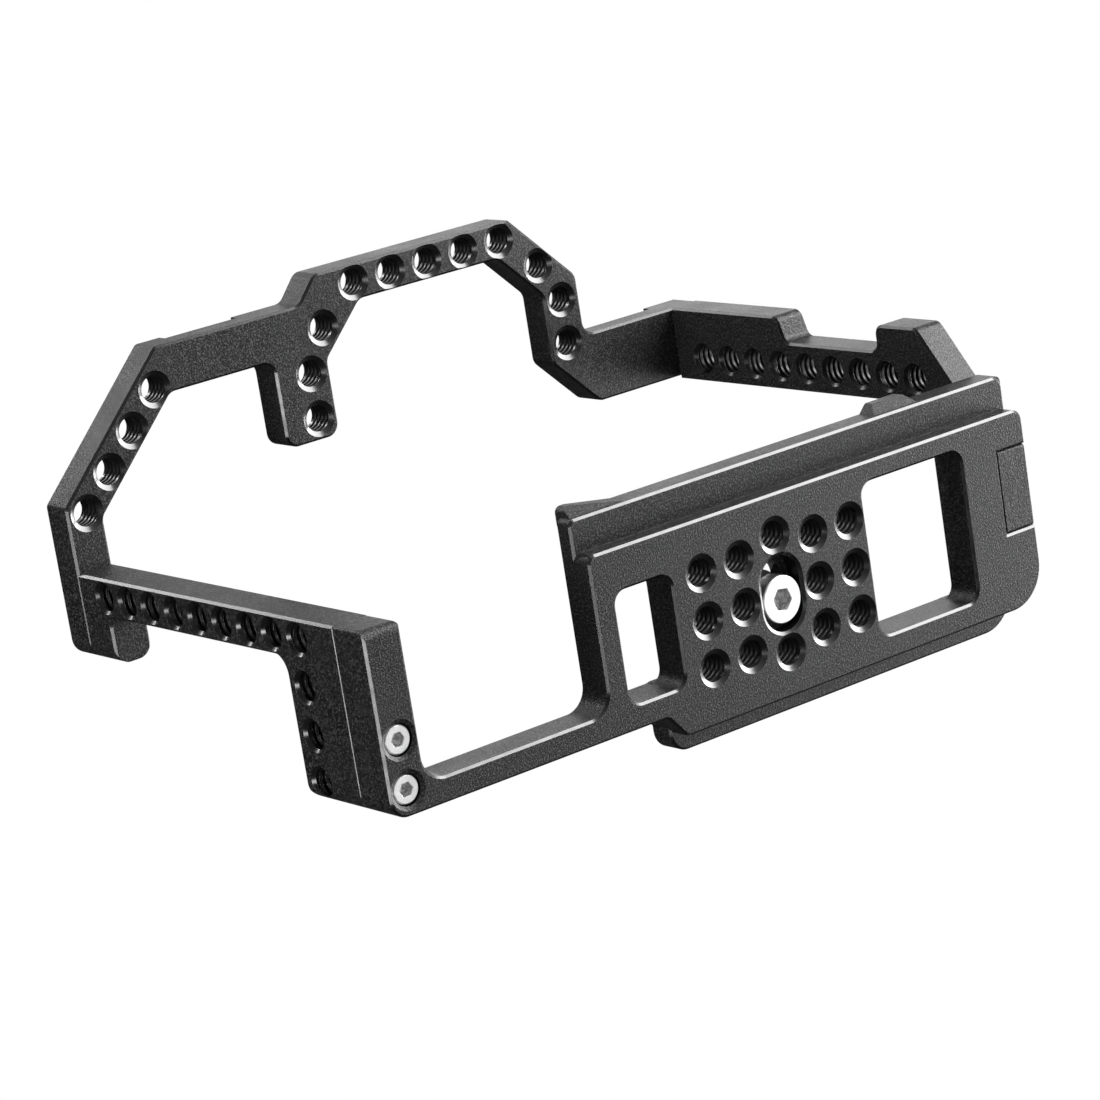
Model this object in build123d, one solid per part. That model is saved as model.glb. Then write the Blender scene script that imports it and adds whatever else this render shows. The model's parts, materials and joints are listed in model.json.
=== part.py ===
from build123d import *
import math
import os

# Camera cage: a bottom plate, two side bars and a top plate that goes round the
# prism hump. Built in millimetres round the axis of the camera screw's slot:
# -X is the grip side, -Y the front, +Z up, and z = 0 is the underside.

# --- bottom plate -----------------------------------------------------------
PLATE_X0 = -42.5        # grip-side edge of the broad part
PLATE_X1 = 64.2         # port-side edge
MAIN_Y0 = -18.8         # front edge of the underside
MAIN_Y1 = 19.45         # rear edge of the underside
LEDGE_Y0 = -25.0        # front edge of the recessed front ledge
LEDGE_Y1 = 23.3         # rear edge of the recessed rear ledge
LEDGE_X0 = -27.3        # grip-side end of the rear ledge
LEDGE_X1 = 59.4         # port-side end of the rear ledge
LEDGE_R0 = 3.8          # its corner at the grip side
LEDGE_R1 = 7.6          # its corner at the port side
LEDGE_ROOT = 3.95       # how far both ledges run in under the thicker part
LEDGE_INSET = 0.4       # front ledge short of the port-side edge
LEDGE_Z = 4.0           # how far both ledges sit above the underside
PLATE_T = 7.5           # thickness under the camera
REAR_T = 9.0            # thickness of the rear band and of the corner block
BAND_MARGIN = 2.5       # rear band past the grip-side window, at both ends
LIP_T = 1.8             # front lip, front to back
LIP_Z = 9.4             # top of the front lip
LIP_X0 = -41.2          # grip-side end of the lip
BULGE = 1.7             # how far the front lip swells forward at two places
SWELL_Z0 = 5.2          # where the lip starts to lean forward
SWELL_Z1 = 7.4          # where it is upright again
SWELL_GRIP_X = -28.7    # port-side end of the swelling at the grip side
SWELL_GRIP_W = 2.2      # its part that runs along the front
SWELL_PORT_X0 = 32.0    # ends of the swelling at the port side
SWELL_PORT_X1 = 43.0
LIP_R = 1.2             # corners of the ledge and the lip, seen from above
BLOCK_R = 2.0           # rounded lower front edge of the corner block
PORT_CORNER_R = 8.0     # rounded rear port-side corner
ARM_Y0 = 10.1           # front edge of the arm
ARM_Y1 = 14.85          # rear edge of the arm and of the corner block
ARM_FILLET = 4.5        # where the arm meets the plate and the block
STEP_X0 = -30.2         # where the rear edge leaves the arm's line
STEP_X1 = -26.4         # where it reaches the plate's rear edge
STEP_R = 1.6
CORNER_R = 1.6          # small corners seen from above
FRONT_R = 2.4           # front port-side corners
WIN_R = 2.7             # corners of both windows
WIN_GRIP_X0 = -37.9     # window at the grip side
WIN_GRIP_X1 = -24.9
WIN_GRIP_Y0 = -10.9
WIN_GRIP_Y1 = 10.3
WIN_PORT_X0 = 22.1      # window at the port side
WIN_PORT_X1 = 47.4
WIN_PORT_Y = 14.9       # its half length

# --- frame heights and bar sections -----------------------------------------
BAR_TOP = 93.15         # underside of the top plate
TOP_T = 7.0             # thickness of the top plate
GRIP_X0 = -91.6         # outer face of the grip-side bar
GRIP_T = 7.8            # thickness of the grip-side bar, along X
GRIP_Y0 = -19.15        # front face of the grip-side bar
GRIP_W = 7.45           # width of its upright
GRIP_HOOK_Y1 = -2.2     # rear end of its upper foot
GRIP_HOOK_H = 8.7       # height of its upper foot
GRIP_FOOT_TOP = 25.9    # top of its lower foot
GRIP_END_R = 3.4        # rounded rear ends of the feet, seen from above
FOOT_R = 3.0            # rounded upper rear corners of the lower feet
GRIP_FILLET = 3.5       # inner corner above the lower foot
HOOK_FILLET = 2.2       # inner corner under the upper foot
PORT_X1 = 63.9          # outer face of the port-side bar
PORT_T = 7.0            # thickness of the port-side bar, along X
PORT_Y0 = -34.95        # front face of the port-side bar
PORT_Y1 = -20.0         # rear face of the port-side bar
NOTCH_Z0 = 30.9         # lower wall of the notch in its front edge
NOTCH_Z1 = 58.9         # upper wall of that notch
NOTCH_D = 5.3           # depth of that notch
NOTCH_R = 2.0           # corners of the notch
NOTCH_SLOPE = 1.2       # how far the upper wall leans
PORT_SLANT_Z = 19.0     # where the slanted front edge starts
PORT_SLANT = 1.25       # how far it runs back for each millimetre down
PORT_FOOT_TOP = 17.5    # top of the foot that lies on the bottom plate
PORT_FOOT_Y1 = 9.5      # rear end of that foot
TENON_Y0 = -11.8        # front face of the tenon under the foot
TENON_Y1 = 4.3          # rear face of the tenon
TENON_R = 0.6           # rounded edges of the tenon's end
PORT_FILLET = 6.0       # inner corner between the foot and the upright
TENON_GAP = 0.1         # clearance round the tenon in the plate's notch
TENON_Z = 0.2           # how far the tenon's end sits above the underside

# --- top plate --------------------------------------------------------------
HUMP_X = -1.85          # middle of the hump, along X
HUMP_Y0 = -62.0         # front edge of the hump
SHOULDER_Y0 = -56.9     # front edge of the grip-side shoulder
SHOULDER_Y1 = -47.6     # rear edge of the grip-side shoulder
RIM_Y1 = -54.9          # rear edge of the hump's front bar
LEG_Y1 = -30.1          # rear end of the leg beside the hump
PORT_ARM_Y0 = -34.85    # front edge of the port-side arm
PORT_ARM_Y1 = -20.5     # rear edge of the port-side arm
DIAG_X1 = -66.5         # where the grip-side diagonal meets the shoulder's front
DIAG_W = 7.92           # width of the diagonal bar
DIAG_INSET = 0.2        # how far the grip end stands in over the bar
TURN_R = 1.2            # sharp turns of the outline
BEND_R = 2.6            # softer turns of the outline
STEP_RUN = 4.4          # slanted step from the shoulder to the hump, along X
SHOULDER_X1 = -33.0     # where that step starts
LEG_X0 = -41.0          # outer edge of the leg beside the hump
HUMP_X1 = 19.2          # port-side end of the hump's front edge
PORT_LEG_X1 = 33.85     # outer edge of the hump's port-side leg
HUMP_INNER = 26.8       # half width of the gap under the hump
RIM_HALF = 17.0         # half length of the hump's inner edge
ARM_IN_X = 35.2         # where the port-side arm's rear edge turns off
RELIEF_D = 2.0          # depth of the two shallow reliefs in the top face
RELIEF_GRIP_X0 = -61.0  # relief in the shoulder
RELIEF_GRIP_X1 = -44.5
RELIEF_PORT_X0 = 37.0   # relief in the port-side arm
RELIEF_PORT_X1 = 55.0

# --- tapped accessory holes, 1/4-20 -----------------------------------------
THREAD_R = 3.175        # major radius of 1/4-20
TAP_R = 2.6             # tapped wall, at the minor radius
RIM_R = 3.6             # countersunk mouth on the plates
BAR_RIM_R = 3.2         # chamfered mouth on the bars
GRID = 9.0              # hole pitch on both plates
MID_HOLE_Y = 11.15      # the two holes in line with the slot
BAR_PITCH = 8.0         # hole pitch on both bars
BAR_HOLES = 9
BAR_HOLE_Z = 84.9       # top hole of each bar
FOOT_PITCH = 8.8        # hole pitch along the lower foot
PORT_HOLE_Y = -24.7     # column of the port-side bar's holes
DIAG_HOLES = 4
DIAG_HOLE_X = -68.1     # first hole of the diagonal bar
DIAG_HOLE_IN = 4.45     # its distance from the outer edge
HUMP_HOLE_Y = -58.45    # row along the hump's front
SHOULDER_HOLE_X = 26.7  # holes at the hump's corners, from its middle
SHOULDER_HOLE_Y = -51.4
LEG_HOLE_X = 31.1       # holes in its two legs, from its middle
LEG_HOLE_Y = -43.3
CONE_120 = math.tan(math.radians(60))
CONE_90 = 1.0

# --- camera screw and its slot ----------------------------------------------
SLOT_TRAVEL = 5.1       # distance between the slot's end centres, along Y
HEAD_R = 4.5            # screw head
HEAD_H = 3.15
HEAD_INSET = 0.4        # head face above the underside
HEAD_GAP = 0.15         # head to the wide part of the slot
SEAT_GAP = 0.05         # head to the seat it clamps against
STUD_GAP = 0.075        # stud to the narrow part of the slot
SCREW_Y = 1.2           # where the screw stands in its slot
SCREW_TOP = 13.0        # end of the stud
STUD_R = THREAD_R       # stud
NECK_R = 2.5            # groove that the retaining ring sits in
RING_R = 4.9            # retaining ring
RING_T = 0.5
RING_SLOT = 2.0         # opening in the ring, which lets it snap on
RING_LIFT = 0.05        # ring above its pocket's floor
RING_FIT = 0.03         # ring bore to the neck
RING_GAP = 0.2          # ring to its pocket, all round
CAM_HEX = 4.0           # hexagon socket, across flats
CAM_HEX_TURN = 9.0      # how far its corners are turned from X, in degrees
CAM_SOCKET = 2.0        # its depth
CAM_BREAK = 0.2         # chamfer on its head
STUD_BREAK = 0.6        # chamfer on the stud's end
POCKET_Z = 6.8          # floor of the ring's pocket
SLOT_MOUTH = 0.38       # depth of the slot's countersunk mouth

# --- M3 socket head screws ---------------------------------------------------
M3_R = 1.5
M3_HEAD_R = 2.75
M3_HEAD_H = 3.0
M3_HEX = 2.5            # hexagon socket, across flats
M3_TAP_GAP = 0.02       # screw to its tapped hole
TAP_SPARE = 1.0         # tapped depth past the end of a long screw
M3_SOCKET = 1.6         # depth of the socket
M3_PASS_R = 1.65        # clearance hole
CB_R = 2.95             # counterbore
CB_MOUTH = 0.42         # depth of the counterbore's countersunk mouth
M3_BREAK = 0.3          # chamfer on head and tip
CB_D = 3.6              # counterbore depth, so heads sit 0.6 below the face
SHORT_L = 8.0           # top plate and tenon screws
LONG_L = 12.0           # corner block screws
SHORT_MOUTH = 0.15      # the same depth for the short screws
M3_PITCH = 9.0          # distance between the two screws of a pair
TOP_PITCH = 7.0         # the same through the top plate
HOOK_MARGIN = 4.4       # rear top screw to the end of the grip-side bar
CORNER_Y = 1.15         # front one of the corner pair

EDGE = 0.45             # chamfer on machined edges
SEAM = 0.3              # chamfer under the grip-side bar's foot, which shows the seam
SHARP_R = 0.8           # corners that are left nearly sharp
CUT = 1.0               # how far cutting tools run past a face
LAP = 0.02              # how far joined cutting tools run into each other
NEAR = 0.1              # tolerance for picking edges by their place

GRIP_X1 = GRIP_X0 + GRIP_T
GRIP_MID_X = GRIP_X0 + GRIP_T / 2
DIAG_LINE = DIAG_X1 + SHOULDER_Y0
PORT_X0 = PORT_X1 - PORT_T
PORT_MID_X = PORT_X1 - PORT_T / 2
GRIP_INNER_Y = GRIP_Y0 + GRIP_W
GRIP_HOLE_Y = GRIP_Y0 + GRIP_W / 2
TOP_Z = BAR_TOP + TOP_T
HEAD_SEAT = HEAD_INSET + HEAD_H
TENON_SCREW_Z = PLATE_T / 2
TENON_MID_Y = (TENON_Y0 + TENON_Y1) / 2
PORT_SCREW_Y = (PORT_ARM_Y0 + PORT_ARM_Y1) / 2
GRIP_SCREW_Y = GRIP_HOOK_Y1 - HOOK_MARGIN - TOP_PITCH / 2

# The exported parts are centred on their common box, standing on z = 0.
SHIFT = Pos(-(GRIP_X0 + PLATE_X1) / 2, -(HUMP_Y0 + LEDGE_Y1) / 2, 0)


def outline(corners):
    """Face through corners given as (x, y, corner radius)."""
    count = len(corners)
    ends = []
    for i, (x, y, radius) in enumerate(corners):
        here = Vector(x, y)
        back = (Vector(*corners[i - 1][:2]) - here).normalized()
        ahead = (Vector(*corners[(i + 1) % count][:2]) - here).normalized()
        if radius == 0:
            ends.append((here, None, here))
            continue
        half = math.radians(back.get_angle(ahead)) / 2
        reach = radius / math.tan(half)
        middle = (back + ahead).normalized()
        crown = here + middle * (radius / math.sin(half) - radius)
        ends.append((here + back * reach, crown, here + ahead * reach))
    edges = []
    for i, (start, crown, stop) in enumerate(ends):
        if crown is not None:
            edges.append(ThreePointArc(start, crown, stop))
        edges.append(Line(stop, ends[(i + 1) % count][0]))
    return make_face(edges)


def slab(face, z0, z1):
    """Face lying in XY, made solid from z0 to z1."""
    return Pos(0, 0, z0) * extrude(face, z1 - z0)


def side_slab(corners, x0, x1):
    """Outline in (y, z), made solid from x0 to x1."""
    plane = Plane(origin=(x0, 0, 0), x_dir=(0, 1, 0), z_dir=(1, 0, 0))
    return extrude(plane * outline(corners), x1 - x0)


def block(x0, x1, y0, y1, z0, z1):
    """Box between two corners."""
    return Pos((x0 + x1) / 2, (y0 + y1) / 2, (z0 + z1) / 2) * Box(x1 - x0, y1 - y0, z1 - z0)


def obround(radius, y0, y1, z0, z1):
    """Slot running along Y on x = 0, between the end centres y0 and y1."""
    shape = block(-radius, radius, y0, y1, z0, z1)
    for y in (y0, y1):
        shape += Pos(0, y, (z0 + z1) / 2) * Cylinder(radius, z1 - z0)
    return shape


def slot_rim(radius, y0, y1):
    """Countersunk mouth of the slot, at the underside."""
    rim = SLOT_MOUTH + CUT
    width = 2 * (radius + rim * CONE_120)
    mouth = SlotOverall(y1 - y0 + width, width, rotation=90)
    return extrude(Pos(0, (y0 + y1) / 2, -CUT) * mouth, rim, taper=60)


def break_underside(shape):
    """Chamfer all the edges of the lowest face."""
    return chamfer(shape.faces().sort_by(Axis.Z)[0].edges(), EDGE)


def drill(length, rim_r, slope):
    """Tapped through hole along Z, centred, with a cone at each mouth."""
    tool = Cylinder(TAP_R, length + 2 * CUT)
    depth = (rim_r - TAP_R) / slope
    height = depth + CUT
    cone = Cone(rim_r + CUT * slope, TAP_R, height)
    lift = length / 2 - depth + height / 2
    tool += Pos(0, 0, -lift) * cone
    tool += Pos(0, 0, lift) * Rot(180, 0, 0) * cone
    return tool


def m3_screw(length):
    """Socket head screw, head face at z = 0, shank towards +Z."""
    head = Pos(0, 0, M3_HEAD_H / 2) * Cylinder(M3_HEAD_R, M3_HEAD_H)
    head = chamfer(head.edges().group_by(Axis.Z)[0], M3_BREAK)
    socket = extrude(RegularPolygon(M3_HEX / 2, 6, major_radius=False), M3_SOCKET)
    shank = Pos(0, 0, M3_HEAD_H + length / 2) * Cylinder(M3_R, length)
    shank = chamfer(shank.edges().group_by(Axis.Z)[-1], M3_BREAK)
    return head + shank - socket


def m3_seat(through, tapped, mouth=CB_MOUTH):
    """Tool for one screw: face at z = 0, counterbore, clearance, tapped end."""
    tool = Pos(0, 0, (CB_D - CUT) / 2) * Cylinder(CB_R, CB_D + CUT)
    rim = Cone(CB_R + (mouth + CUT) * CONE_120, CB_R, mouth + CUT)
    tool += Pos(0, 0, (mouth - CUT) / 2) * rim
    tool += Pos(0, 0, through / 2) * Cylinder(M3_PASS_R, through + LAP)
    end = through + tapped
    tool += Pos(0, 0, (through + end) / 2) * Cylinder(M3_R + M3_TAP_GAP, tapped)
    return tool


def corner_frames():
    """Corner screws come up through the block into the grip-side bar."""
    return [Pos(GRIP_MID_X, CORNER_Y + i * M3_PITCH, 0) for i in (0, 1)]


def top_frames():
    """Top screws go down through the top plate into both bars."""
    down = Rot(180, 0, 0)
    places = []
    for x, y in ((GRIP_MID_X, GRIP_SCREW_Y), (PORT_MID_X, PORT_SCREW_Y)):
        for i in (-0.5, 0.5):
            places.append(Pos(x, y + i * TOP_PITCH, TOP_Z) * down)
    return places


def tenon_frames():
    """Tenon screws run in from the port side into the bottom plate."""
    inward = Rot(0, -90, 0)
    return [Pos(PORT_X1, TENON_MID_Y + i * M3_PITCH, TENON_SCREW_Z) * inward for i in (-0.5, 0.5)]


def short_seat():
    """Seat of a short screw, tapped a little deeper than the screw reaches."""
    return m3_seat(TOP_T, CB_D + SHORT_L + TAP_SPARE / 2 - TOP_T, SHORT_MOUTH)


def plate_holes():
    """Positions of the bottom plate's tapped holes."""
    spots = []
    for col in (-2, -1, 1, 2):
        for row in (-1, 0, 1):
            spots.append((col * GRID, row * GRID))
    return spots + [(0, -MID_HOLE_Y), (0, MID_HOLE_Y)]


def main_outline():
    """Underside of the bottom plate with its arm and corner block."""
    x_block = GRIP_X1
    return outline([
        (GRIP_X0, GRIP_Y0, SHARP_R),
        (x_block, GRIP_Y0, SHARP_R),
        (x_block, ARM_Y0, ARM_FILLET),
        (PLATE_X0, ARM_Y0, ARM_FILLET),
        (PLATE_X0, MAIN_Y0, CORNER_R),
        (PLATE_X1, MAIN_Y0, FRONT_R),
        (PLATE_X1, MAIN_Y1, PORT_CORNER_R),
        (STEP_X1, MAIN_Y1, STEP_R),
        (STEP_X0, ARM_Y1, STEP_R),
        (GRIP_X0, ARM_Y1, GRIP_END_R),
    ])


def windows():
    """Outlines of the two weight-saving windows."""
    outlines = []
    for x0, x1, y0, y1 in (
        (WIN_GRIP_X0, WIN_GRIP_X1, WIN_GRIP_Y0, WIN_GRIP_Y1),
        (WIN_PORT_X0, WIN_PORT_X1, -WIN_PORT_Y, WIN_PORT_Y),
    ):
        corners = [(x0, y0, WIN_R), (x1, y0, WIN_R), (x1, y1, WIN_R), (x0, y1, WIN_R)]
        outlines.append(outline(corners))
    return outlines


def front_ledge():
    """Recessed ledge along the front, with its lip and the two swellings."""
    y0 = LEDGE_Y0
    y1 = MAIN_Y0 + LEDGE_ROOT
    x1 = PLATE_X1 - LEDGE_INSET
    corners = [(PLATE_X0, y0, LIP_R), (x1, y0, FRONT_R), (x1, y1, 0), (PLATE_X0, y1, 0)]
    ledge = slab(outline(corners), LEDGE_Z, PLATE_T)
    ledge = break_underside(ledge)
    y_in = y0 + LIP_T
    corners = [(LIP_X0, y0, LIP_R), (x1, y0, LIP_R), (x1, y_in, 0), (LIP_X0, y_in, 0)]
    return ledge + slab(outline(corners), LEDGE_Z + EDGE, LIP_Z) + lip_swellings(y_in)


def lip_swellings(y_in):
    """Two places where the lip leans forward."""
    y0 = LEDGE_Y0
    y_out = y0 - BULGE
    grip = [
        (LIP_X0, y_in, 0),
        (LIP_X0, y_out, LIP_R),
        (LIP_X0 + SWELL_GRIP_W, y_out, 0),
        (SWELL_GRIP_X, y0, 0),
        (SWELL_GRIP_X, y_in, 0),
    ]
    port = [
        (SWELL_PORT_X0, y_in, 0),
        (SWELL_PORT_X0, y0, 0),
        (SWELL_PORT_X0 + BULGE, y_out, SHARP_R),
        (SWELL_PORT_X1 - BULGE, y_out, SHARP_R),
        (SWELL_PORT_X1, y0, 0),
        (SWELL_PORT_X1, y_in, 0),
    ]
    plan = slab(outline(grip), LEDGE_Z, LIP_Z) + slab(outline(port), LEDGE_Z, LIP_Z)
    lean = [
        (y_in, SWELL_Z0, 0),
        (y0, SWELL_Z0, 0),
        (y_out, SWELL_Z1, 0),
        (y_out, LIP_Z, 0),
        (y_in, LIP_Z, 0),
    ]
    return plan & side_slab(lean, PLATE_X0, PLATE_X1)


def rear_ledge():
    """Recessed ledge along the rear, up to the height of the rear band."""
    y0 = MAIN_Y1 - LEDGE_ROOT
    corners = [
        (LEDGE_X0, y0, 0),
        (LEDGE_X1, y0, 0),
        (LEDGE_X1, LEDGE_Y1, LEDGE_R1),
        (LEDGE_X0, LEDGE_Y1, LEDGE_R0),
    ]
    ledge = slab(outline(corners), LEDGE_Z, REAR_T)
    under = ledge.edges().group_by(Axis.Z)[0]
    return chamfer(under.filter_by_position(Axis.Y, y0 + EDGE, LEDGE_Y1 + CUT), EDGE)


def rear_band():
    """Thicker band behind the windows that stiffens the plate's rear."""
    x0 = WIN_GRIP_X0 - BAND_MARGIN
    x1 = WIN_GRIP_X1 + BAND_MARGIN
    region = outline([
        (x0, ARM_Y0, 0),
        (x1, ARM_Y0, CORNER_R),
        (x1 + ARM_Y1 - ARM_Y0, ARM_Y1, CORNER_R),
        (PLATE_X1 + CUT, ARM_Y1, 0),
        (PLATE_X1 + CUT, MAIN_Y1 + CUT, 0),
        (x0, MAIN_Y1 + CUT, 0),
    ])
    band = slab(main_outline(), PLATE_T - CUT, REAR_T) & slab(region, PLATE_T - CUT, REAR_T)
    for face in windows():
        band -= slab(face, 0, REAR_T + CUT)
    return band


def corner_block():
    """Upper part of the block that the grip-side bar stands on."""
    return slab(outline([
        (GRIP_X0, GRIP_Y0, SHARP_R),
        (GRIP_X1, GRIP_Y0, SHARP_R),
        (GRIP_X1, ARM_Y1, 0),
        (GRIP_X0, ARM_Y1, GRIP_END_R),
    ]), PLATE_T - CUT, REAR_T)


def block_rounding():
    """Tool that rounds the lower front edge of the corner block."""
    x0 = GRIP_X0 - CUT
    x1 = GRIP_X1 + CUT
    tool = block(x0, x1, GRIP_Y0 - CUT, GRIP_Y0 + BLOCK_R, -CUT, BLOCK_R)
    rod = Pos((x0 + x1) / 2, GRIP_Y0 + BLOCK_R, BLOCK_R) * Rot(0, 90, 0) * Cylinder(BLOCK_R, x1 - x0 + CUT)
    return tool - rod


def make_bottom_plate():
    body = slab(main_outline(), 0, PLATE_T)
    for face in windows():
        body -= slab(face, -CUT, REAR_T + CUT)
    y0 = TENON_Y0 - TENON_GAP
    y1 = TENON_Y1 + TENON_GAP
    body -= block(PORT_X0 - TENON_GAP, PLATE_X1 + CUT, y0, y1, -CUT, REAR_T + CUT)
    body = break_underside(body)
    body += rear_band() + corner_block()
    body -= block_rounding()
    body += front_ledge()
    body += rear_ledge()
    for x, y in plate_holes():
        body -= Pos(x, y, PLATE_T / 2) * drill(PLATE_T, RIM_R, CONE_120)
    half = SLOT_TRAVEL / 2
    wide = HEAD_R + HEAD_GAP
    body -= obround(wide, -half, half, -CUT, HEAD_SEAT + SEAT_GAP)
    body -= obround(STUD_R + STUD_GAP, -half, half, 0, PLATE_T + CUT)
    body -= obround(RING_R + RING_GAP, -half, half, POCKET_Z, PLATE_T + CUT)
    body -= slot_rim(wide, -half, half)
    for place in corner_frames():
        body -= place * m3_seat(REAR_T, LONG_L)
    for place in tenon_frames():
        body -= place * short_seat()
    return body


def bar_tool(x_mid, thickness, y, z):
    """Tapped hole through a side bar, along X."""
    return Pos(x_mid, y, z) * Rot(0, 90, 0) * drill(thickness, BAR_RIM_R, CONE_90)


def end_trim(y1, z0, z1):
    """What lies outside the grip-side bar's rounded rear end at y1, between two heights."""
    y0 = y1 - GRIP_END_R
    around = block(GRIP_X0 - CUT, GRIP_X1 + CUT, y0, y1 + CUT, z0, z1)
    kept = outline([
        (GRIP_X0, y0 - GRIP_END_R, 0),
        (GRIP_X0, y1, GRIP_END_R),
        (GRIP_X1, y1, GRIP_END_R),
        (GRIP_X1, y0 - GRIP_END_R, 0),
    ])
    return around - slab(kept, z0, z1)


def make_grip_side_bar():
    foot_y1 = ARM_Y1
    hook_z = BAR_TOP - GRIP_HOOK_H
    corners = [
        (GRIP_Y0, REAR_T, 0),
        (foot_y1, REAR_T, 0),
        (foot_y1, GRIP_FOOT_TOP, FOOT_R),
        (GRIP_INNER_Y, GRIP_FOOT_TOP, GRIP_FILLET),
        (GRIP_INNER_Y, hook_z, HOOK_FILLET),
        (GRIP_HOOK_Y1, hook_z, TENON_R),
        (GRIP_HOOK_Y1, BAR_TOP, 0),
        (GRIP_Y0, BAR_TOP, 0),
    ]
    body = side_slab(corners, GRIP_X0, GRIP_X1)
    sides = body.faces().sort_by(Axis.X)[0].edges() + body.faces().sort_by(Axis.X)[-1].edges()
    body = chamfer(sides.filter_by_position(Axis.Z, REAR_T + NEAR, BAR_TOP - NEAR), EDGE)
    body -= end_trim(GRIP_HOOK_Y1, hook_z - CUT, BAR_TOP + CUT)
    body -= end_trim(foot_y1, REAR_T - CUT, GRIP_FOOT_TOP + CUT)
    foot = body.faces().sort_by(Axis.Z)[0]
    body = chamfer(foot.edges(), SEAM)
    for i in range(BAR_HOLES):
        body -= bar_tool(GRIP_MID_X, GRIP_T, GRIP_HOLE_Y, BAR_HOLE_Z - i * BAR_PITCH)
    low = BAR_HOLE_Z - (BAR_HOLES - 1) * BAR_PITCH
    for i in (1, 2, 3):
        body -= bar_tool(GRIP_MID_X, GRIP_T, GRIP_HOLE_Y + i * FOOT_PITCH, low)
    for place in corner_frames():
        body -= place * m3_seat(REAR_T, CB_D + LONG_L + TAP_SPARE - REAR_T)
    for place in top_frames()[:2]:
        body -= place * short_seat()
    return body


def make_port_side_bar():
    slant_y = PORT_Y0 + (PORT_SLANT_Z - PLATE_T) * PORT_SLANT
    notch_y = PORT_Y0 + NOTCH_D
    corners = [
        (PORT_Y0, BAR_TOP, 0),
        (PORT_Y0, NOTCH_Z1 + NOTCH_SLOPE, NOTCH_R),
        (notch_y, NOTCH_Z1 - NOTCH_SLOPE / 2, NOTCH_R),
        (notch_y, NOTCH_Z0, NOTCH_R),
        (PORT_Y0, NOTCH_Z0, NOTCH_R),
        (PORT_Y0, PORT_SLANT_Z, NOTCH_R),
        (slant_y, PLATE_T, 0),
        (TENON_Y0, PLATE_T, 0),
        (TENON_Y0, TENON_Z, TENON_R),
        (TENON_Y1, TENON_Z, TENON_R),
        (TENON_Y1, PLATE_T, 0),
        (PORT_FOOT_Y1, PLATE_T, 0),
        (PORT_FOOT_Y1, PORT_FOOT_TOP, FOOT_R),
        (PORT_Y1, PORT_FOOT_TOP, PORT_FILLET),
        (PORT_Y1, BAR_TOP, 0),
    ]
    body = side_slab(corners, PORT_X0, PORT_X1)
    uprights = body.edges().filter_by(Axis.Z).filter_by_position(Axis.Z, NOTCH_Z1, BAR_TOP)
    body = chamfer(uprights, EDGE)
    for i in range(BAR_HOLES):
        body -= bar_tool(PORT_MID_X, PORT_T, PORT_HOLE_Y, BAR_HOLE_Z - i * BAR_PITCH)
    for place in top_frames()[2:]:
        body -= place * short_seat()
    for place in tenon_frames():
        body -= place * short_seat()
    return body


def top_outline():
    """Top plate, seen from above: grip end, diagonal, shoulder, hump, port arm."""
    x_in = GRIP_X1 - DIAG_INSET
    inner_line = DIAG_LINE + DIAG_W * math.sqrt(2)
    left = HUMP_X - HUMP_INNER
    right = HUMP_X + HUMP_INNER
    rim_y = RIM_Y1 + HUMP_INNER - RIM_HALF
    return outline([
        (GRIP_X0, GRIP_HOOK_Y1, GRIP_END_R),
        (GRIP_X0, DIAG_LINE - GRIP_X0, TURN_R),
        (DIAG_X1, SHOULDER_Y0, TURN_R),
        (SHOULDER_X1, SHOULDER_Y0, BEND_R),
        (SHOULDER_X1 + STEP_RUN, HUMP_Y0, BEND_R),
        (HUMP_X1, HUMP_Y0, TURN_R),
        (PORT_LEG_X1, HUMP_Y0 + PORT_LEG_X1 - HUMP_X1, BEND_R),
        (PORT_LEG_X1, PORT_ARM_Y0, BEND_R),
        (PORT_X1, PORT_ARM_Y0, SHARP_R),
        (PORT_X1, PORT_ARM_Y1, SHARP_R),
        (ARM_IN_X, PORT_ARM_Y1, BEND_R),
        (right, PORT_ARM_Y1 + right - ARM_IN_X, BEND_R),
        (right, rim_y, BEND_R),
        (HUMP_X + RIM_HALF, RIM_Y1, BEND_R),
        (HUMP_X - RIM_HALF, RIM_Y1, BEND_R),
        (left, rim_y, BEND_R),
        (left, LEG_Y1, BEND_R),
        (LEG_X0, LEG_Y1, BEND_R),
        (LEG_X0, SHOULDER_Y1, BEND_R),
        (inner_line - SHOULDER_Y1, SHOULDER_Y1, BEND_R),
        (x_in, inner_line - x_in, BEND_R),
        (x_in, GRIP_HOOK_Y1, GRIP_END_R),
    ])


def top_holes():
    """Positions of the top plate's tapped holes."""
    step = GRID / math.sqrt(2)
    hole_line = DIAG_LINE + DIAG_HOLE_IN * math.sqrt(2)
    spots = []
    for i in range(DIAG_HOLES):
        x = DIAG_HOLE_X - i * step
        spots.append((x, hole_line - x))
    for i in (-2, -1, 0, 1, 2):
        spots.append((HUMP_X + i * GRID, HUMP_HOLE_Y))
    for side in (-1, 1):
        spots.append((HUMP_X + side * SHOULDER_HOLE_X, SHOULDER_HOLE_Y))
        spots.append((HUMP_X + side * LEG_HOLE_X, LEG_HOLE_Y))
        spots.append((HUMP_X + side * LEG_HOLE_X, LEG_HOLE_Y + GRID))
    return spots


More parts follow.
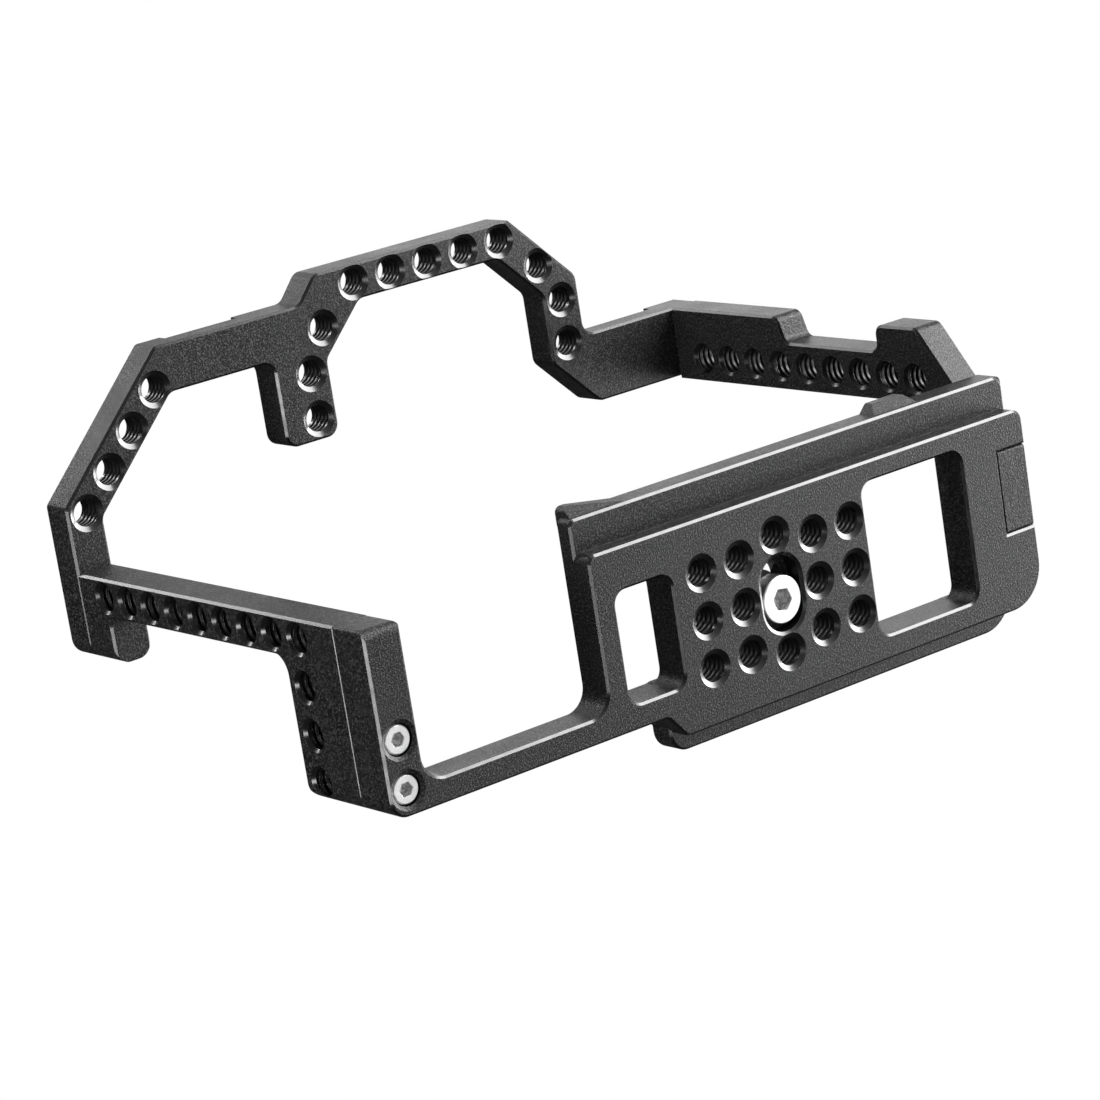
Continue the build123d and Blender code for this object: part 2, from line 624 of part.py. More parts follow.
def make_top_plate():
    body = slab(top_outline(), BAR_TOP, TOP_Z)
    body = break_underside(body)
    floor = TOP_Z - RELIEF_D
    over = TOP_Z + CUT
    body -= block(RELIEF_GRIP_X0, RELIEF_GRIP_X1, SHOULDER_Y0 - CUT, SHOULDER_Y1 + CUT, floor, over)
    body -= block(RELIEF_PORT_X0, RELIEF_PORT_X1, PORT_ARM_Y0 - CUT, PORT_ARM_Y1 + CUT, floor, over)
    for x, y in top_holes():
        body -= Pos(x, y, BAR_TOP + TOP_T / 2) * drill(TOP_T, RIM_R, CONE_120)
    for place in top_frames():
        body -= place * short_seat()
    return body


def ring_place():
    """Middle of the retaining ring."""
    return Pos(0, SCREW_Y, POCKET_Z + RING_LIFT + RING_T / 2)


def make_camera_screw():
    head = Pos(0, SCREW_Y, HEAD_INSET + HEAD_H / 2) * Cylinder(HEAD_R, HEAD_H)
    head = chamfer(head.edges().group_by(Axis.Z)[0], CAM_BREAK)
    stud = Pos(0, SCREW_Y, (HEAD_SEAT + SCREW_TOP) / 2) * Cylinder(STUD_R, SCREW_TOP - HEAD_SEAT)
    stud = chamfer(stud.edges().group_by(Axis.Z)[-1], STUD_BREAK)
    groove = Cylinder(STUD_R + CUT, RING_T + 2 * RING_FIT) - Cylinder(NECK_R, RING_T + CUT)
    stud -= ring_place() * groove
    hexagon = RegularPolygon(CAM_HEX / 2, 6, major_radius=False, rotation=CAM_HEX_TURN)
    socket = Pos(0, SCREW_Y, HEAD_INSET) * extrude(hexagon, CAM_SOCKET)
    return head + stud - socket


def make_retaining_ring():
    ring = Cylinder(RING_R, RING_T) - Cylinder(NECK_R + RING_FIT, RING_T + CUT)
    gap = Pos(RING_R, 0, 0) * Box(2 * RING_R, RING_SLOT, RING_T + CUT)
    return ring_place() * (ring - gap)


def make_corner_screws():
    sink = Pos(0, 0, CB_D - M3_HEAD_H)
    return Compound([place * sink * m3_screw(LONG_L) for place in corner_frames()])


def make_frame_screws():
    sink = Pos(0, 0, CB_D - M3_HEAD_H)
    places = top_frames() + tenon_frames()
    return Compound([place * sink * m3_screw(SHORT_L) for place in places])


os.makedirs("parts", exist_ok=True)
export_step(SHIFT * make_bottom_plate(), "parts/bottom_plate.step")
export_step(SHIFT * make_grip_side_bar(), "parts/grip_side_bar.step")
export_step(SHIFT * make_port_side_bar(), "parts/port_side_bar.step")
export_step(SHIFT * make_top_plate(), "parts/top_plate.step")
export_step(SHIFT * make_camera_screw(), "parts/camera_screw.step")
export_step(SHIFT * make_retaining_ring(), "parts/retaining_ring.step")
export_step(SHIFT * make_corner_screws(), "parts/corner_screws.step")
export_step(SHIFT * make_frame_screws(), "parts/frame_screws.step")
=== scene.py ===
"""Looks of a camera cage in bead-blasted, black anodised aluminium with steel screws.

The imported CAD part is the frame. Its four aluminium pieces and its camera screw are shown by
copies that have real threads cut into them; the small screws and the ring are the CAD's own.
Everything is in metres, in the part's own frame.
"""

import json
import math

import bmesh
import bpy
from mathutils import Matrix, Vector


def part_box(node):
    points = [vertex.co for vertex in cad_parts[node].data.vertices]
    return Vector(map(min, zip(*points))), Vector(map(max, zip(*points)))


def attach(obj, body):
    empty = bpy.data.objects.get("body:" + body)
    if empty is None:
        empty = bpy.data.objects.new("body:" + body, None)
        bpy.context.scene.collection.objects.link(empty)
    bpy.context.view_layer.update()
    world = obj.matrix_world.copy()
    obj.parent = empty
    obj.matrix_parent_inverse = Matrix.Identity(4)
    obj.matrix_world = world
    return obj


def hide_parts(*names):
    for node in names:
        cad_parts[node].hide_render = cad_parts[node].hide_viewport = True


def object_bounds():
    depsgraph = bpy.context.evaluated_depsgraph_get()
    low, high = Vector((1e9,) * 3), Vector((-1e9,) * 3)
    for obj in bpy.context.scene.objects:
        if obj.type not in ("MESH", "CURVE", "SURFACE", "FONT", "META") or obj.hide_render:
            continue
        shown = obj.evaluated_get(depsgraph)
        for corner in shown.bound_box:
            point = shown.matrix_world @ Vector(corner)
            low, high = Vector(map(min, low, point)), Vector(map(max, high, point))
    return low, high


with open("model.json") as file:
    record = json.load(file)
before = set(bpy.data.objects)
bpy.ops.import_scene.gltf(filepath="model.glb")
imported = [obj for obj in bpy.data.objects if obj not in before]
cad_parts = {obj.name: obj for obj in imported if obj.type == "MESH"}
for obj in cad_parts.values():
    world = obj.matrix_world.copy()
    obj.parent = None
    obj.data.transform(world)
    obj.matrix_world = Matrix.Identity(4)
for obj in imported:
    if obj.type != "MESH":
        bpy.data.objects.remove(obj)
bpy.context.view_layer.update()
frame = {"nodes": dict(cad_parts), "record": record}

MM = 0.001
COS_45 = math.sqrt(0.5)
TAN_30 = math.tan(math.radians(30))

# Meshes.
MERGED = 1e-7                # points closer than this are one
SHARP_TURN = math.radians(28)  # edges that turn by more stay sharp

# 1/4-20 thread.
MAJOR_R = 3.175 * MM
BORE_R = 2.55 * MM
STUD_ROOT_R = 2.42 * MM
PITCH = 1.27 * MM
ROOT_FLAT = 0.16 * MM
TURN_STEPS = 40              # points in each turn
TURN_APART = 2.4             # radians between the starts of neighbouring threads
TOOL_GAP = 0.05 * MM         # between neighbouring turns of a cutting tool
RUN_OUT_TURNS = 0.4          # over which a thread fades in
RUN_OUT_START = 0.05         # its share of the full depth at the very end
LEAD_IN = 0.70 * MM          # from a hole's mouth to where its thread starts
STUD_THREAD_Z = 7.6 * MM     # where the stud's thread starts, above its ring

# Pieces with tapped holes: how the mounts of those holes begin, and the thickness drilled.
TAPPED = {
    "bottom_plate": ("plate_", 7.5 * MM),
    "top_plate": (("hump_", "diagonal_"), 7.0 * MM),
    "port_side_bar": ("port_bar", 7.0 * MM),
    "grip_side_bar": ("grip_", 7.8 * MM),
}

# Material slots of those pieces. The faces of holes, seats and chamfers were cut after blasting.
CUT_SLOT = 1
THREAD_SLOT = 2

# Round the axis of a hole, seat or slot, the cut walls lie within these radii.
HOLE_REACH = 4.2 * MM
SEAT_REACH = 3.4 * MM
SLOT_REACH = 8.5 * MM
CUT_DEPTH = 8.0 * MM         # how far along the axis such walls go, from its middle
THREAD_REACH = 3.3 * MM      # threads lie within this radius
CONE_DEPTH = 0.6 * MM        # and deeper than this
FLAT = 0.99                  # cosine from which a face counts as square to an axis

# Chamfers are narrow faces at 45 degrees to this axis of each piece.
CHAMFER_AXIS = {"bottom_plate": 2, "top_plate": 2, "port_side_bar": 0, "grip_side_bar": 0}
CHAMFER_W = 0.7 * MM
CHAMFER_FIT = 0.003          # how near to that angle, as a cosine

# Black anodising, bead-blasted: its pits, grains, clouds and worn edges, with painted sparkle in its
# bright ridges and grains.
BLASTED_EDGE = 0.10 * MM
PIT_SIZE = 0.36 * MM
GRAIN_SIZE = 0.30 * MM
CLOUD_SIZE = 11 * MM
SCUFF_SIZE = 1.1 * MM
PIT_DEPTH = 0.09 * MM
PIT_COLOUR = 0.001
RIDGE_AND_SPARKLE_COLOUR = 0.088
GRAIN_AND_SPARKLE_COLOUR = 0.12
WORN_COLOUR = 0.25
CLOUD_COLOUR = (0.020, 0.020, 0.022, 1)
BLASTED_ROUGH = (0.38, 0.46)
BLASTED_IOR = 1.4

# Black anodising on cut metal, and on threads.
CUT_EDGE = 0.04 * MM
MARK_SIZE = 0.25 * MM
MARK_DEPTH = 0.02 * MM
STAIN_SIZE = 2.5 * MM
CUT_COLOURS = (0.003, 0.007)
CUT_WORN_COLOUR = 0.30
CUT_ROUGH = (0.20, 0.27)
CUT_IOR = 1.7
THREAD_ROUGH = (0.30, 0.37)
THREAD_IOR = 1.5

# Bright screws, and the dull ring.
TURNED_EDGE = 0.10 * MM
TURNED_GRAIN = 0.16 * MM
TURNED_CLOUD = 0.7 * MM
TURNED_DEPTH = 0.01 * MM
STEEL_COLOURS = (0.92, 1.0)
# colour of the painted shade in the screws' sockets, where their walls shade each other
SOCKET_SHADE_COLOUR = 0.45
STEEL_ROUGH = (0.37, 0.47)
NICKEL_ROUGH = (0.35, 0.45)
SOCKET_DEPTHS = (0.15 * MM, 0.45 * MM)  # under a head's face, where the painted socket shade starts and is full
CAMERA_HEAD = 3.6 * MM       # height of the camera screw's head, above which no painted shade lies
HEAD_BLUR = 0.2 * MM
RING_GRAIN = 0.3 * MM
RING_COLOURS = (0.55, 0.72)
RING_ROUGH = (0.45, 0.60)

# Floor: its half width, and the radii where it starts to turn white and where it is white.
FLOOR_HALF = 3.0
FLOOR_GAP = 0.2 * MM         # under the part
FLOOR_SHADED_R = 0.12
FLOOR_WHITE_R = 0.50
FLOOR_COLOUR = 0.86
FLOOR_ROUGH = 0.9

# World: the bright side, and strengths on the dark and the bright side.
BRIGHT_SIDE = (0.67, -0.71, -0.14)
DARK_FROM = -0.3             # cosine to the bright side at which it is darkest
GLOSSY_WORLD = (0.04, 0.5)
DIFFUSE_WORLD = (0.05, 0.55)
LAMP_DISTANCE = 1.0

# The photograph's camera, recovered from the part's edges.
CAMERA_EYE = Vector((-433.3, -171.7, -552.4)) * MM
CAMERA_AIM = Vector((-2.12, 11.70, 47.95)) * MM
CAMERA_ROLL = math.radians(-80.52)
CAMERA_LENS = 131.50


# --- meshes -------------------------------------------------------------------

def mesh_object(name, mesh):
    """Puts a mesh into the scene."""
    obj = bpy.data.objects.new(name, mesh)
    bpy.context.scene.collection.objects.link(obj)
    return obj


def object_from(bm, name):
    """Puts a finished bmesh into the scene and frees it."""
    mesh = bpy.data.meshes.new(name)
    bm.to_mesh(mesh)
    bm.free()
    return mesh_object(name, mesh)


def apply(obj, kind, **settings):
    """Adds a modifier and makes its result the object's mesh."""
    modifier = obj.modifiers.new("made", kind)
    for key, value in settings.items():
        setattr(modifier, key, value)
    made = obj.evaluated_get(bpy.context.evaluated_depsgraph_get())
    mesh = bpy.data.meshes.new_from_object(made)
    obj.modifiers.remove(modifier)
    obj.data = mesh


def shade_by_angle(obj):
    """Smooth curves and truly flat faces, with hard edges where the surface turns sharply."""
    bm = bmesh.new()
    bm.from_mesh(obj.data)
    for face in bm.faces:
        face.smooth = True
    for edge in bm.edges:
        edge.smooth = len(edge.link_faces) == 2 and edge.calc_face_angle(0.0) < SHARP_TURN
    bm.to_mesh(obj.data)
    bm.free()
    apply(obj, "WEIGHTED_NORMAL", keep_sharp=True, weight=100)


def merged_mesh(node):
    """Surface of a CAD node, with its doubled points merged."""
    bm = bmesh.new()
    bm.from_mesh(frame["nodes"][node].data)
    bmesh.ops.remove_doubles(bm, verts=bm.verts, dist=MERGED)
    return bm


def closed_copy(node, name):
    """Closed copy of a CAD node's surface."""
    bm = merged_mesh(node)
    bm.verts.index_update()
    places = [v.co.copy() for v in bm.verts]
    faces = [[v.index for v in f.verts] for f in bm.faces]
    bm.free()
    mesh = bpy.data.meshes.new(name)
    mesh.from_pydata(places, [], faces)
    return mesh_object(name, mesh)


def cut(obj, cutter):
    """Takes the cutter's shape out of obj and deletes the cutter."""
    apply(obj, "BOOLEAN", operation="DIFFERENCE", solver="MANIFOLD", object=cutter)
    bpy.data.objects.remove(cutter)


# --- threads ------------------------------------------------------------------

def helix(bm, place, z0, z1, phase, section, fades_out):
    """Closed helical bar round the local Z, whose section is (radius, offset along Z).

    The section grows over the bar's start, and shrinks again at its end if it fades out.
    """
    steps = round((z1 - z0) / PITCH * TURN_STEPS)
    rings = []
    for i in range(steps + 1):
        turns = i / TURN_STEPS
        to_end = steps / TURN_STEPS - turns
        from_end = min(turns, to_end) if fades_out else turns
        grown = min(1.0, RUN_OUT_START + from_end / RUN_OUT_TURNS)
        angle = 2 * math.pi * turns + phase
        ring = []
        for radius, offset in section(grown):
            spot = (radius * math.cos(angle), radius * math.sin(angle), z0 + turns * PITCH + offset)
            ring.append(bm.verts.new(place @ Vector(spot)))
        rings.append(ring)
    for one, two in zip(rings, rings[1:]):
        for k in range(len(one)):
            bm.faces.new((one[k], one[k - 1], two[k - 1], two[k]))
    bm.faces.new(rings[0])
    bm.faces.new(rings[-1][::-1])


def inner_groove(grown):
    """Section of a tapped hole's groove, wide towards the axis."""
    root = ROOT_FLAT / 2
    root_r = BORE_R + (MAJOR_R - BORE_R) * grown
    lip_r = MAJOR_R - (PITCH / 2 - TOOL_GAP - root) / TAN_30
    wide = root + (root_r - lip_r) * TAN_30
    return ((lip_r, -wide), (root_r, -root), (root_r, root), (lip_r, wide))


def outer_groove(grown):
    """Section of a stud's groove, wide away from the axis."""
    root_r = MAJOR_R - (MAJOR_R - STUD_ROOT_R) * grown
    lip_r = MAJOR_R + TOOL_GAP
    full = PITCH / 2 - TOOL_GAP
    root = max(ROOT_FLAT / 2, full - (lip_r - STUD_ROOT_R) * TAN_30)
    wide = root + (lip_r - root_r) * TAN_30
    return ((lip_r, wide), (root_r, root), (root_r, -root), (lip_r, -wide))


def turn_to(axis):
    """Matrix that turns +Z to that axis."""
    return axis.to_track_quat("Z", "Y").to_matrix().to_4x4()


def tapped_holes(prefix):
    """Middle and axis of every tapped hole that the record's mounts describe."""
    holes = []
    units = [Vector((1, 0, 0)), Vector((0, 1, 0)), Vector((0, 0, 1))]
    signs = [(1, 1), (-1, -1), (1, -1), (-1, 1)]  # of which a pair of holes takes the first two
    for mount in frame["record"]["mounts"]:
        if not mount["name"].startswith(prefix):
            continue
        middle = Vector(mount["pos_m"])
        axis = Vector(mount["axis"])
        dims = mount["dims"]
        if mount["kind"] == "threaded_hole":
            holes.append((middle, axis))
            continue
        first, second = [unit for unit in units if abs(axis.dot(unit)) < 0.5]
        reach = first * dims.get("spacing_x_mm", 0) * MM / 2
        side = second * dims.get("spacing_y_mm", 0) * MM / 2
        for a, b in signs[:dims["count"]]:
            holes.append((middle + a * reach + b * side, axis))
    return holes


def solids(node):
    """Middle and longest axis of each solid in a CAD node."""
    bm = merged_mesh(node)
    left = set(bm.verts)
    found = []
    while left:
        group = [left.pop()]
        for vert in group:
            near = {edge.other_vert(vert) for edge in vert.link_edges} & left
            left -= near
            group.extend(near)
        low = Vector([min(v.co[k] for v in group) for k in range(3)])
        high = Vector([max(v.co[k] for v in group) for k in range(3)])
        size = high - low
        axis = Vector([float(size[k] == max(size)) for k in range(3)])
        found.append(((low + high) / 2, axis))
    bm.free()
    return found


def mark_walls(mesh, places, reach, depth, slot):
    """Gives a material slot to the walls round those axes, to that depth each side of a middle."""

    def near(spot, middle, axis):
        away = spot - middle
        along = away.dot(axis)
        return abs(along) < depth and (away - along * axis).length < reach

    for face in mesh.polygons:
        for middle, axis in places:
            if abs(face.normal.dot(axis)) > FLAT or not near(face.center, middle, axis):
                continue
            if all(near(mesh.vertices[v].co, middle, axis) for v in face.vertices):
                face.material_index = slot
                break


def mark_chamfers(mesh, axis):
    """Gives the slot of cut metal to narrow faces at 45 degrees to that axis."""
    for face in mesh.polygons:
        if abs(abs(face.normal[axis]) - COS_45) > CHAMFER_FIT:
            continue
        spots = [mesh.vertices[v].co for v in face.vertices]
        longest = max((one - two).length for one, two in zip(spots, spots[1:] + spots[:1]))
        if face.area < CHAMFER_W * longest:
            face.material_index = CUT_SLOT


def tapped_piece(node, holes, length):
    """Copy of an aluminium piece with a real thread in each of those holes."""
    piece = closed_copy(node, node + "_threaded")
    bm = bmesh.new()
    reach = length / 2 - LEAD_IN
    for number, (middle, axis) in enumerate(holes):
        place = Matrix.Translation(middle) @ turn_to(axis)
        helix(bm, place, -reach, reach, TURN_APART * number, inner_groove, fades_out=True)
    cut(piece, object_from(bm, node + "_grooves"))
    shade_by_angle(piece)
    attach(piece, "frame")
    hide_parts(node)
    return piece


def camera_screw():
    """Copy of the camera screw with its thread above the retaining ring."""
    piece = closed_copy("camera_screw", "camera_screw_threaded")
    low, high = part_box("camera_screw")
    middle = (low + high) / 2
    place = Matrix.Translation((middle.x, middle.y, 0))
    bm = bmesh.new()
    helix(bm, place, STUD_THREAD_Z, high.z + PITCH, 0.0, outer_groove, fades_out=False)
    cut(piece, object_from(bm, "stud_groove"))
    shade_by_angle(piece)
    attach(piece, "screw")
    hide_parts("camera_screw")
    return piece


# --- materials ----------------------------------------------------------------

MIX_A = 6                    # sockets of a Mix node that mixes colours
MIX_B = 7
MIX_RESULT = 2


class Nodes:
    """Short way to write the nodes of a material or a world."""

    def __init__(self, owner):
        owner.use_nodes = True
        self.owner = owner
        self.tree = owner.node_tree
        self.shader = self.tree.nodes.get("Principled BSDF")

    def add(self, kind, inputs=None, **settings):
        """New node with those inputs and settings."""
        node = self.tree.nodes.new("ShaderNode" + kind)
        for key, value in settings.items():
            setattr(node, key, value)
        for key, value in (inputs or {}).items():
            self.feed(node, key, value)
        return node

    def feed(self, node, key, value):
        """Links a socket to a node's input, or sets the input to a plain value."""
        if isinstance(value, bpy.types.NodeSocket):
            self.tree.links.new(value, node.inputs[key])
        else:
            node.inputs[key].default_value = value

    def noise(self, size, detail=2.0, roughness=0.5):
        """Noise whose grains are about that size, in metres."""
        place = self.add("TexCoord").outputs["Object"]
        node = self.add("TexNoise", {"Vector": place, "Scale": 1 / size, "Detail": detail,
                                     "Roughness": roughness})
        return node.outputs["Fac"]

    def ramp(self, value, low, high, to_low=0.0, to_high=1.0, **settings):
        """Value carried from one range to another, and held at its ends."""
        node = self.add("MapRange", {"Value": value, "From Min": low, "From Max": high,
                                     "To Min": to_low, "To Max": to_high}, **settings)
        return node.outputs["Result"]

    def math(self, operation, a, b):
        return self.add("Math", {0: a, 1: b}, operation=operation).outputs["Value"]

    def mix(self, factor, a, b):
        node = self.add("Mix", {0: factor, MIX_A: a, MIX_B: b}, data_type="RGBA")
        return node.outputs[MIX_RESULT]

    def soft_edges(self, radius):
        """Normal of edges rounded by that radius, and how strongly they are turned."""
        soft = self.add("Bevel", {"Radius": radius}, samples=6).outputs["Normal"]
        flat = self.add("NewGeometry").outputs["Normal"]
        same = self.add("VectorMath", {0: soft, 1: flat}, operation="DOT_PRODUCT")
        return soft, self.ramp(same.outputs["Value"], 0.995, 0.90)

    def surface(self, colour, roughness, **bump):
        """Feeds the shader its colour, its roughness and a bump with those inputs."""
        relief = self.add("Bump", bump)
        self.feed(self.shader, "Base Color", colour)
        self.feed(self.shader, "Roughness", roughness)
        self.feed(self.shader, "Normal", relief.outputs["Normal"])


def material_nodes(name):
    """Nodes of a new material."""
    return Nodes(bpy.data.materials.new(name))


def grey(level):
    """Neutral colour of that level."""
    return (level, level, level, 1)


def blasted_black():
    """Black anodising over a bead-blasted skin, a little brighter where edges have rubbed. Its bright
    ridges and grains are its grain and also painted sparkle.
    """
    m = material_nodes("black_blasted_aluminium")
    soft, edge = m.soft_edges(BLASTED_EDGE)
    pits = m.noise(PIT_SIZE, 2.0, 0.65)
    grains_and_sparkle = m.noise(GRAIN_SIZE, 1.0)
    clouds = m.noise(CLOUD_SIZE, 3.0, 0.55)
    scuffs = m.noise(SCUFF_SIZE, 3.0, 0.7)
    worn = m.math("MULTIPLY", edge, m.ramp(scuffs, 0.35, 0.65, 0.1, 0.35))
    # bright ridges and grains on dark pits: the skin's grain, and painted sparkle of the blasted
    # surface's glints
    skin = m.mix(m.ramp(pits, 0.50, 0.64), grey(PIT_COLOUR), grey(RIDGE_AND_SPARKLE_COLOUR))
    skin = m.mix(m.ramp(grains_and_sparkle, 0.64, 0.76, 0.0, 0.6), skin, grey(GRAIN_AND_SPARKLE_COLOUR))
    skin = m.mix(m.ramp(clouds, 0.3, 0.7, 0.0, 0.35), skin, CLOUD_COLOUR)
    skin = m.mix(worn, skin, grey(WORN_COLOUR))
    relief = m.math("ADD", pits, m.math("MULTIPLY", grains_and_sparkle, 0.4))
    m.surface(skin, m.ramp(clouds, 0.3, 0.7, *BLASTED_ROUGH),
              Strength=1.0, Distance=PIT_DEPTH, Height=relief, Normal=soft)
    m.feed(m.shader, "IOR", BLASTED_IOR)
    return m.owner


def cut_black(name, ior, rough):
    """Black anodising on metal that was cut after blasting: smoother, with faint tool marks."""
    m = material_nodes(name)
    soft, edge = m.soft_edges(CUT_EDGE)
    marks = m.noise(MARK_SIZE)
    stains = m.noise(STAIN_SIZE)
    skin = m.mix(m.ramp(stains, 0.35, 0.65), *map(grey, CUT_COLOURS))
    worn = m.math("MULTIPLY", edge, m.ramp(marks, 0.4, 0.7, 0.05, 0.4))
    skin = m.mix(worn, skin, grey(CUT_WORN_COLOUR))
    m.surface(skin, m.ramp(stains, 0.3, 0.7, *rough),
              Strength=0.15, Distance=MARK_DEPTH, Height=marks, Normal=soft)
    m.feed(m.shader, "IOR", ior)
    return m.owner


def bright_steel(name, rough, node, head=None, both_ends=False):
    """Turned steel with painted shade in the sockets, which lie deeper than the heads' faces.

    The sockets open downwards, and upwards too if both_ends is set. No painted shade lies above head.
    """
    m = material_nodes(name)
    soft, edge = m.soft_edges(TURNED_EDGE)
    grain = m.noise(TURNED_GRAIN, 3.0, 0.6)
    clouds = m.noise(TURNED_CLOUD, 3.0, 0.6)
    low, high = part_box(node)
    place = m.add("SeparateXYZ", {0: m.add("TexCoord").outputs["Object"]})
    depth = m.math("SUBTRACT", place.outputs["Z"], low.z)
    deep = m.ramp(depth, *SOCKET_DEPTHS)
    if both_ends:
        other = m.math("SUBTRACT", high.z, place.outputs["Z"])
        deep = m.math("MINIMUM", deep, m.ramp(other, *SOCKET_DEPTHS))
    if head:
        deep = m.math("MULTIPLY", deep, m.ramp(depth, head, head + HEAD_BLUR, 1.0, 0.0))
    # painted shade: everything deeper than a head's face is darkened, patchy by the clouds
    socket_shade = m.math("MULTIPLY", deep, m.ramp(clouds, 0.42, 0.58, 0.1, 1.0))
    skin = m.mix(m.ramp(clouds, 0.35, 0.65), *map(grey, STEEL_COLOURS))
    skin = m.mix(socket_shade, skin, grey(SOCKET_SHADE_COLOUR))
    m.surface(skin, m.ramp(clouds, 0.3, 0.7, *rough),
              Strength=0.2, Distance=TURNED_DEPTH, Height=grain, Normal=soft)
    m.feed(m.shader, "Metallic", 1.0)
    return m.owner


def ring_steel():
    """Dull spring steel."""
    m = material_nodes("ring_steel")
    grain = m.noise(RING_GRAIN, 3.0, 0.6)
    skin = m.mix(m.ramp(grain, 0.35, 0.65), *map(grey, RING_COLOURS))
    m.surface(skin, m.ramp(grain, 0.3, 0.7, *RING_ROUGH),
              Strength=0.3, Distance=TURNED_DEPTH, Height=grain)
    m.feed(m.shader, "Metallic", 1.0)
    return m.owner


def dress(obj, *materials):
    """Gives an object those materials, one to a slot."""
    obj.data.materials.clear()
    for material in materials:
        obj.data.materials.append(material)


# --- stage --------------------------------------------------------------------

def floor_material():
    """Pale floor, white further off. Only rays from the eye meet it, and only from above."""
    m = material_nodes("floor")
    m.feed(m.shader, "Base Color", grey(FLOOR_COLOUR))
    m.feed(m.shader, "Roughness", FLOOR_ROUGH)
    place = m.add("TexCoord").outputs["Object"]
    away = m.add("VectorMath", {0: place}, operation="LENGTH").outputs["Value"]
    fade = m.ramp(away, FLOOR_SHADED_R, FLOOR_WHITE_R)
    glow = m.add("Emission", {"Strength": 1.0})
    ground = m.add("MixShader", {0: fade, 1: m.shader.outputs[0], 2: glow.outputs[0]})
    front = m.math("SUBTRACT", 1.0, m.add("NewGeometry").outputs["Backfacing"])
    seen = m.math("MULTIPLY", m.add("LightPath").outputs["Is Camera Ray"], front)
    clear = m.add("BsdfTransparent")
    blend = m.add("MixShader", {0: seen, 1: clear.outputs[0], 2: ground.outputs[0]})
    m.feed(m.tree.nodes["Material Output"], "Surface", blend.outputs[0])
    return m.owner


def make_floor():
    """Floor that a view from below looks through."""
    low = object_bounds()[0].z - FLOOR_GAP
    signs = [(-1, -1), (1, -1), (1, 1), (-1, 1)]
    corners = [(a * FLOOR_HALF, b * FLOOR_HALF, low) for a, b in signs]
    mesh = bpy.data.meshes.new("floor")
    mesh.from_pydata(corners, [], [(0, 1, 2, 3)])
    floor = mesh_object("floor", mesh)
    dress(floor, floor_material())


def make_world():
    """White surround that darkens to one side, as beside a dark studio wall."""
    world = bpy.data.worlds.new("studio")
    bpy.context.scene.world = world
    w = Nodes(world)
    path = w.add("LightPath").outputs
    place = w.add("TexCoord").outputs["Generated"]
    bright = Vector(BRIGHT_SIDE).normalized()
    side = w.add("VectorMath", {0: place, 1: bright}, operation="DOT_PRODUCT").outputs["Value"]

    def gradient(low, high):
        return w.ramp(side, DARK_FROM, 1.0, low, high, interpolation_type="SMOOTHSTEP")

    shiny = w.math("MAXIMUM", path["Is Glossy Ray"], path["Is Transmission Ray"])
    shiny = w.math("MULTIPLY", shiny, gradient(*GLOSSY_WORLD))
    soft = w.math("MAXIMUM", shiny, gradient(*DIFFUSE_WORLD))
    back = w.tree.nodes["Background"]
    w.feed(back, "Color", grey(1.0))
    w.feed(back, "Strength", w.math("MAXIMUM", path["Is Camera Ray"], soft))


def softbox(name, direction, along, length, width, radiance):
    """Area lamp that faces the object from one direction, with its length laid along another."""
    data = bpy.data.lights.new(name, "AREA")
    data.shape = "RECTANGLE"
    data.size = length
    data.size_y = width
    data.energy = 4 * length * width * radiance  # such a lamp shines with a quarter of power / area
    lamp = bpy.data.objects.new(name, data)
    lamp.visible_camera = False
    bpy.context.scene.collection.objects.link(lamp)
    back = Vector(direction).normalized()
    side = Vector(along)
    side = (side - side.dot(back) * back).normalized()
    turn = Matrix((side, back.cross(side), back)).transposed().to_4x4()
    lamp.matrix_world = Matrix.Translation(CAMERA_AIM + back * LAMP_DISTANCE) @ turn


def make_lamps():
    """Broad lamps shade the faces. Narrow ones draw the bright lines on chamfers and threads."""
    softbox("key", (0.77, -0.53, -0.35), (0.48, 0.86, 0.17), 0.9, 0.50, 9.0)
    softbox("rim", (0.97, 0.08, -0.15), (0.10, 0.95, 0.10), 0.6, 0.35, 15.0)
    softbox("front", (0.85, 0.27, -0.45), (0.4, 0, 0.9), 0.4, 0.35, 3.4)
    softbox("fill", (0.55, 0.22, -0.81), (0.81, 0, 0.55), 0.7, 0.6, 0.35)
    softbox("side", (0.64, -0.20, 0.74), (0, 1, 0), 0.5, 0.40, 1.4)
    softbox("back", (-0.05, -0.60, 0.80), (1, 0, 0.06), 0.9, 0.5, 1.1)
    softbox("line", (-0.22, -0.52, 0.83), (0, 0.85, 0.53), 0.3, 0.12, 9.0)
    softbox("low", (-0.85, 0.21, -0.49), (0, 1, 0), 0.25, 0.16, 9.0)
    softbox("left", (-0.97, -0.03, -0.02), (0.1, -0.9, 0.3), 0.6, 0.12, 14.0)
    softbox("spot", (-0.42, 0.02, -0.91), (0, 1, 0), 0.2, 0.10, 7.0)


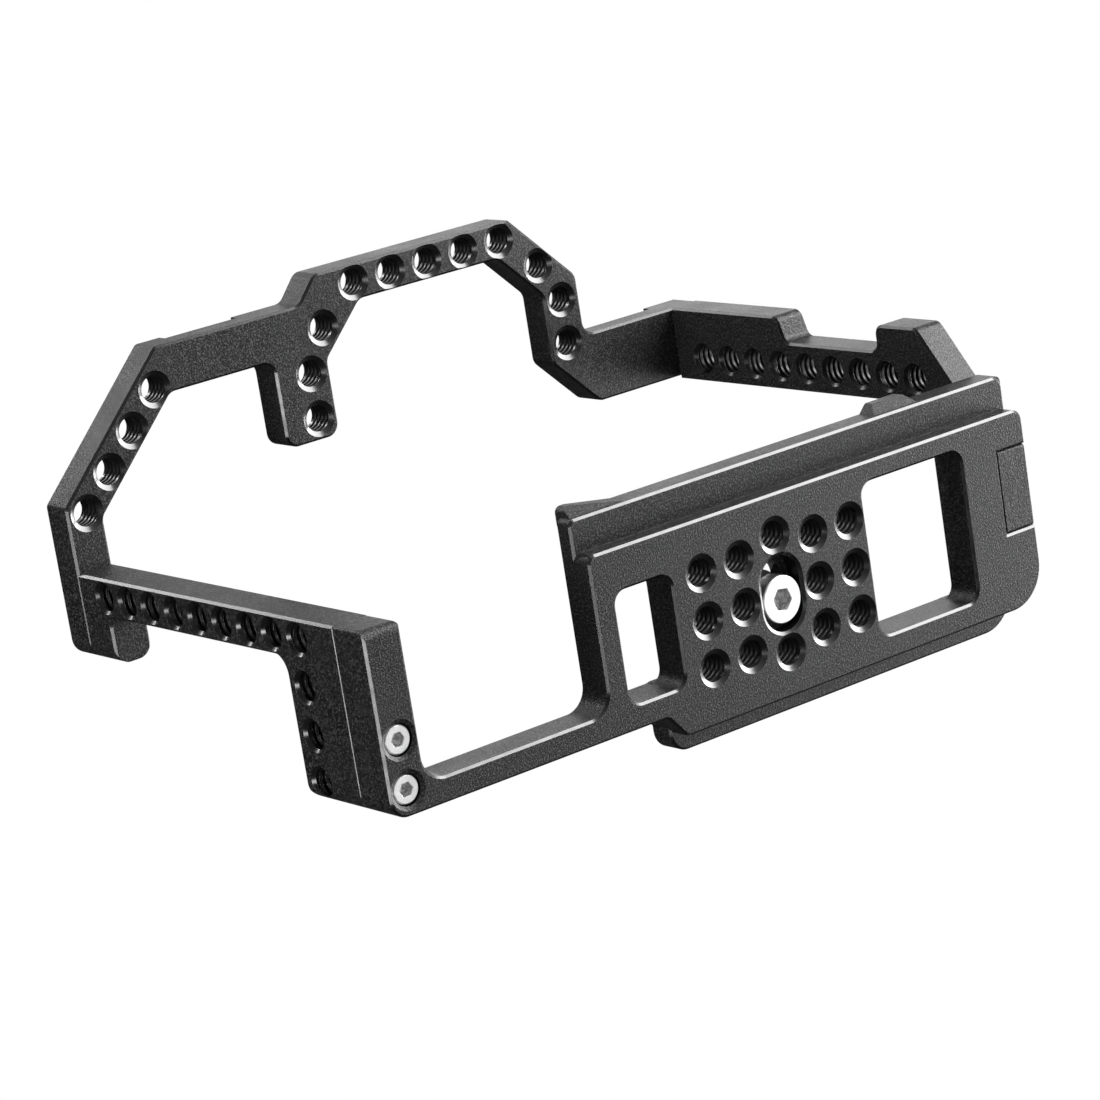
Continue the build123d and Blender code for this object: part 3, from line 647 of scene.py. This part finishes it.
def make_camera():
    """The photograph's point of view."""
    data = bpy.data.cameras.new("camera")
    data.lens = CAMERA_LENS
    camera = bpy.data.objects.new("camera", data)
    bpy.context.scene.collection.objects.link(camera)
    look = (CAMERA_AIM - CAMERA_EYE).to_track_quat("-Z", "Y").to_matrix()
    turn = Matrix.Rotation(CAMERA_ROLL, 3, "Z")
    camera.matrix_world = Matrix.Translation(CAMERA_EYE) @ (look @ turn).to_4x4()
    bpy.context.scene.camera = camera


# --- making -------------------------------------------------------------------

def make_frame():
    """The four aluminium pieces, with threads in their holes and cut metal where it shows."""
    blasted = blasted_black()
    cut_walls = cut_black("black_cut_aluminium", CUT_IOR, CUT_ROUGH)
    threads = cut_black("black_tapped_aluminium", THREAD_IOR, THREAD_ROUGH)
    screws = solids("corner_screws") + solids("frame_screws")
    low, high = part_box("camera_screw")
    slot = [((low + high) / 2, Vector((0, 0, 1)))]
    for node, (prefix, length) in TAPPED.items():
        holes = tapped_holes(prefix)
        piece = tapped_piece(node, holes, length)
        dress(piece, blasted, cut_walls, threads)
        mark_chamfers(piece.data, CHAMFER_AXIS[node])
        mark_walls(piece.data, screws, SEAT_REACH, CUT_DEPTH, CUT_SLOT)
        if node == "bottom_plate":
            mark_walls(piece.data, slot, SLOT_REACH, CUT_DEPTH, CUT_SLOT)
        mark_walls(piece.data, holes, HOLE_REACH, CUT_DEPTH, CUT_SLOT)
        mark_walls(piece.data, holes, THREAD_REACH, length / 2 - CONE_DEPTH, THREAD_SLOT)


def dress_small_parts():
    """Materials of the camera screw, its ring and the small screws."""
    nodes = frame["nodes"]
    steel = bright_steel("camera_screw_steel", STEEL_ROUGH, "camera_screw", head=CAMERA_HEAD)
    dress(camera_screw(), steel)
    dress(nodes["corner_screws"], bright_steel("nickel_corner_screws", NICKEL_ROUGH, "corner_screws"))
    nickel = bright_steel("nickel_frame_screws", NICKEL_ROUGH, "frame_screws", both_ends=True)
    dress(nodes["frame_screws"], nickel)
    dress(nodes["retaining_ring"], ring_steel())


make_frame()
dress_small_parts()
make_floor()
make_world()
make_lamps()
make_camera()

bpy.context.scene.view_settings.view_transform = "Standard"
